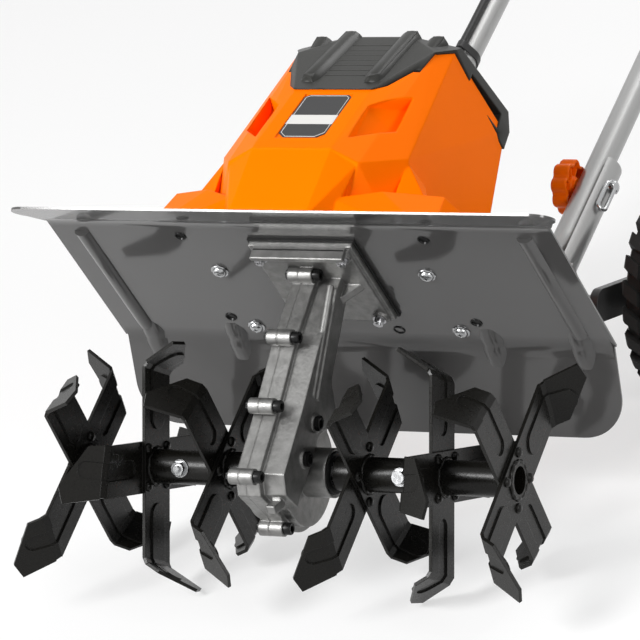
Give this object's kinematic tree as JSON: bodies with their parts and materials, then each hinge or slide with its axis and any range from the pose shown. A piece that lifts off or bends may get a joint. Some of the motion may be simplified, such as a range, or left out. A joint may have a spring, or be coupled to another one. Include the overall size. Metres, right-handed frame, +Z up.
{
  "type": "electric rotavator",
  "caption": "Small electric rotavator with bent tine discs on a cross shaft under a sheet hood, a motor housing above, a folding handle and transport wheels.",
  "frame": {"origin": "on the floor, under the middle of the machine's length and width", "axes": "+Z up, -Y the way the machine faces and works, +X to the left of the operator who stands behind it"},
  "size_m": [0.512, 1.4486, 0.4582],
  "materials": {
    "tine_black": "semi-gloss black paint",
    "tyre": "black rubber",
    "wheel_plastic": "black plastic",
    "bracket_grey": "dark grey paint",
    "gasket": "black gasket",
    "gearbox_alloy": "cast, satin",
    "knob_orange": "orange plastic",
    "grip_rubber": "foam sleeve",
    "switch_plastic": "black plastic",
    "lever_orange": "orange plastic",
    "hood_grey": "glossy dark grey paint",
    "housing_orange": "orange plastic",
    "cap_grey": "dark grey plastic",
    "motor_steel": "bare steel",
    "shaft_steel": "turned steel",
    "frame_silver": "silver grey paint"
  },
  "bodies": {
    "machine": {"hood": "hood_grey", "gearbox_gasket": "gasket", "gearbox_body": "gearbox_alloy", "gearbox_cover": "gearbox_alloy", "motor_block": "motor_steel", "motor_housing": "housing_orange", "top_cap": "cap_grey", "frame_rail_left": "frame_silver", "frame_rail_right": "frame_silver", "wheel_cross_tube": "frame_silver", "wheel_arm_left": "bracket_grey", "wheel_arm_right": "bracket_grey", "cable_lower": "grip_rubber", "clamp_knob_left": "knob_orange", "clamp_knob_right": "knob_orange"},
    "rotor": {"output_shaft": "shaft_steel", "tine_tube_left": "tine_black", "tine_tube_right": "tine_black", "tine_disc_left_inner": "tine_black", "tine_disc_left_middle": "tine_black", "tine_disc_left_outer": "tine_black", "tine_disc_right_inner": "tine_black", "tine_disc_right_middle": "tine_black", "tine_disc_right_outer": "tine_black"},
    "wheel_left": {"wheel_rim_left": "wheel_plastic", "tyre_left": "tyre"},
    "wheel_right": {"wheel_rim_right": "wheel_plastic", "tyre_right": "tyre"},
    "handle": {"lower_handle": "frame_silver", "upper_handle": "frame_silver", "handle_grip_left": "grip_rubber", "handle_grip_right": "grip_rubber", "upper_clamps": "switch_plastic", "switch_box": "switch_plastic", "switch_lever": "lever_orange", "cable_upper": "grip_rubber"}
  },
  "joints": [
    {"name": "rotor_spin", "type": "hinge", "parent": "machine", "child": "rotor", "pos_m": [0, -0.61254, 0.1118], "axis": [1, 0, 0], "continuous": true},
    {"name": "wheel_left_spin", "type": "hinge", "parent": "machine", "child": "wheel_left", "pos_m": [0.1665, -0.18944, 0.088], "axis": [1, 0, 0], "continuous": true},
    {"name": "wheel_right_spin", "type": "hinge", "parent": "machine", "child": "wheel_right", "pos_m": [-0.1665, -0.18944, 0.088], "axis": [1, 0, 0], "continuous": true},
    {"name": "handle_fold", "type": "hinge", "parent": "machine", "child": "handle", "pos_m": [0, -0.13882, 0.17102], "axis": [1, 0, 0], "range_deg": [0, 95]}
  ]
}
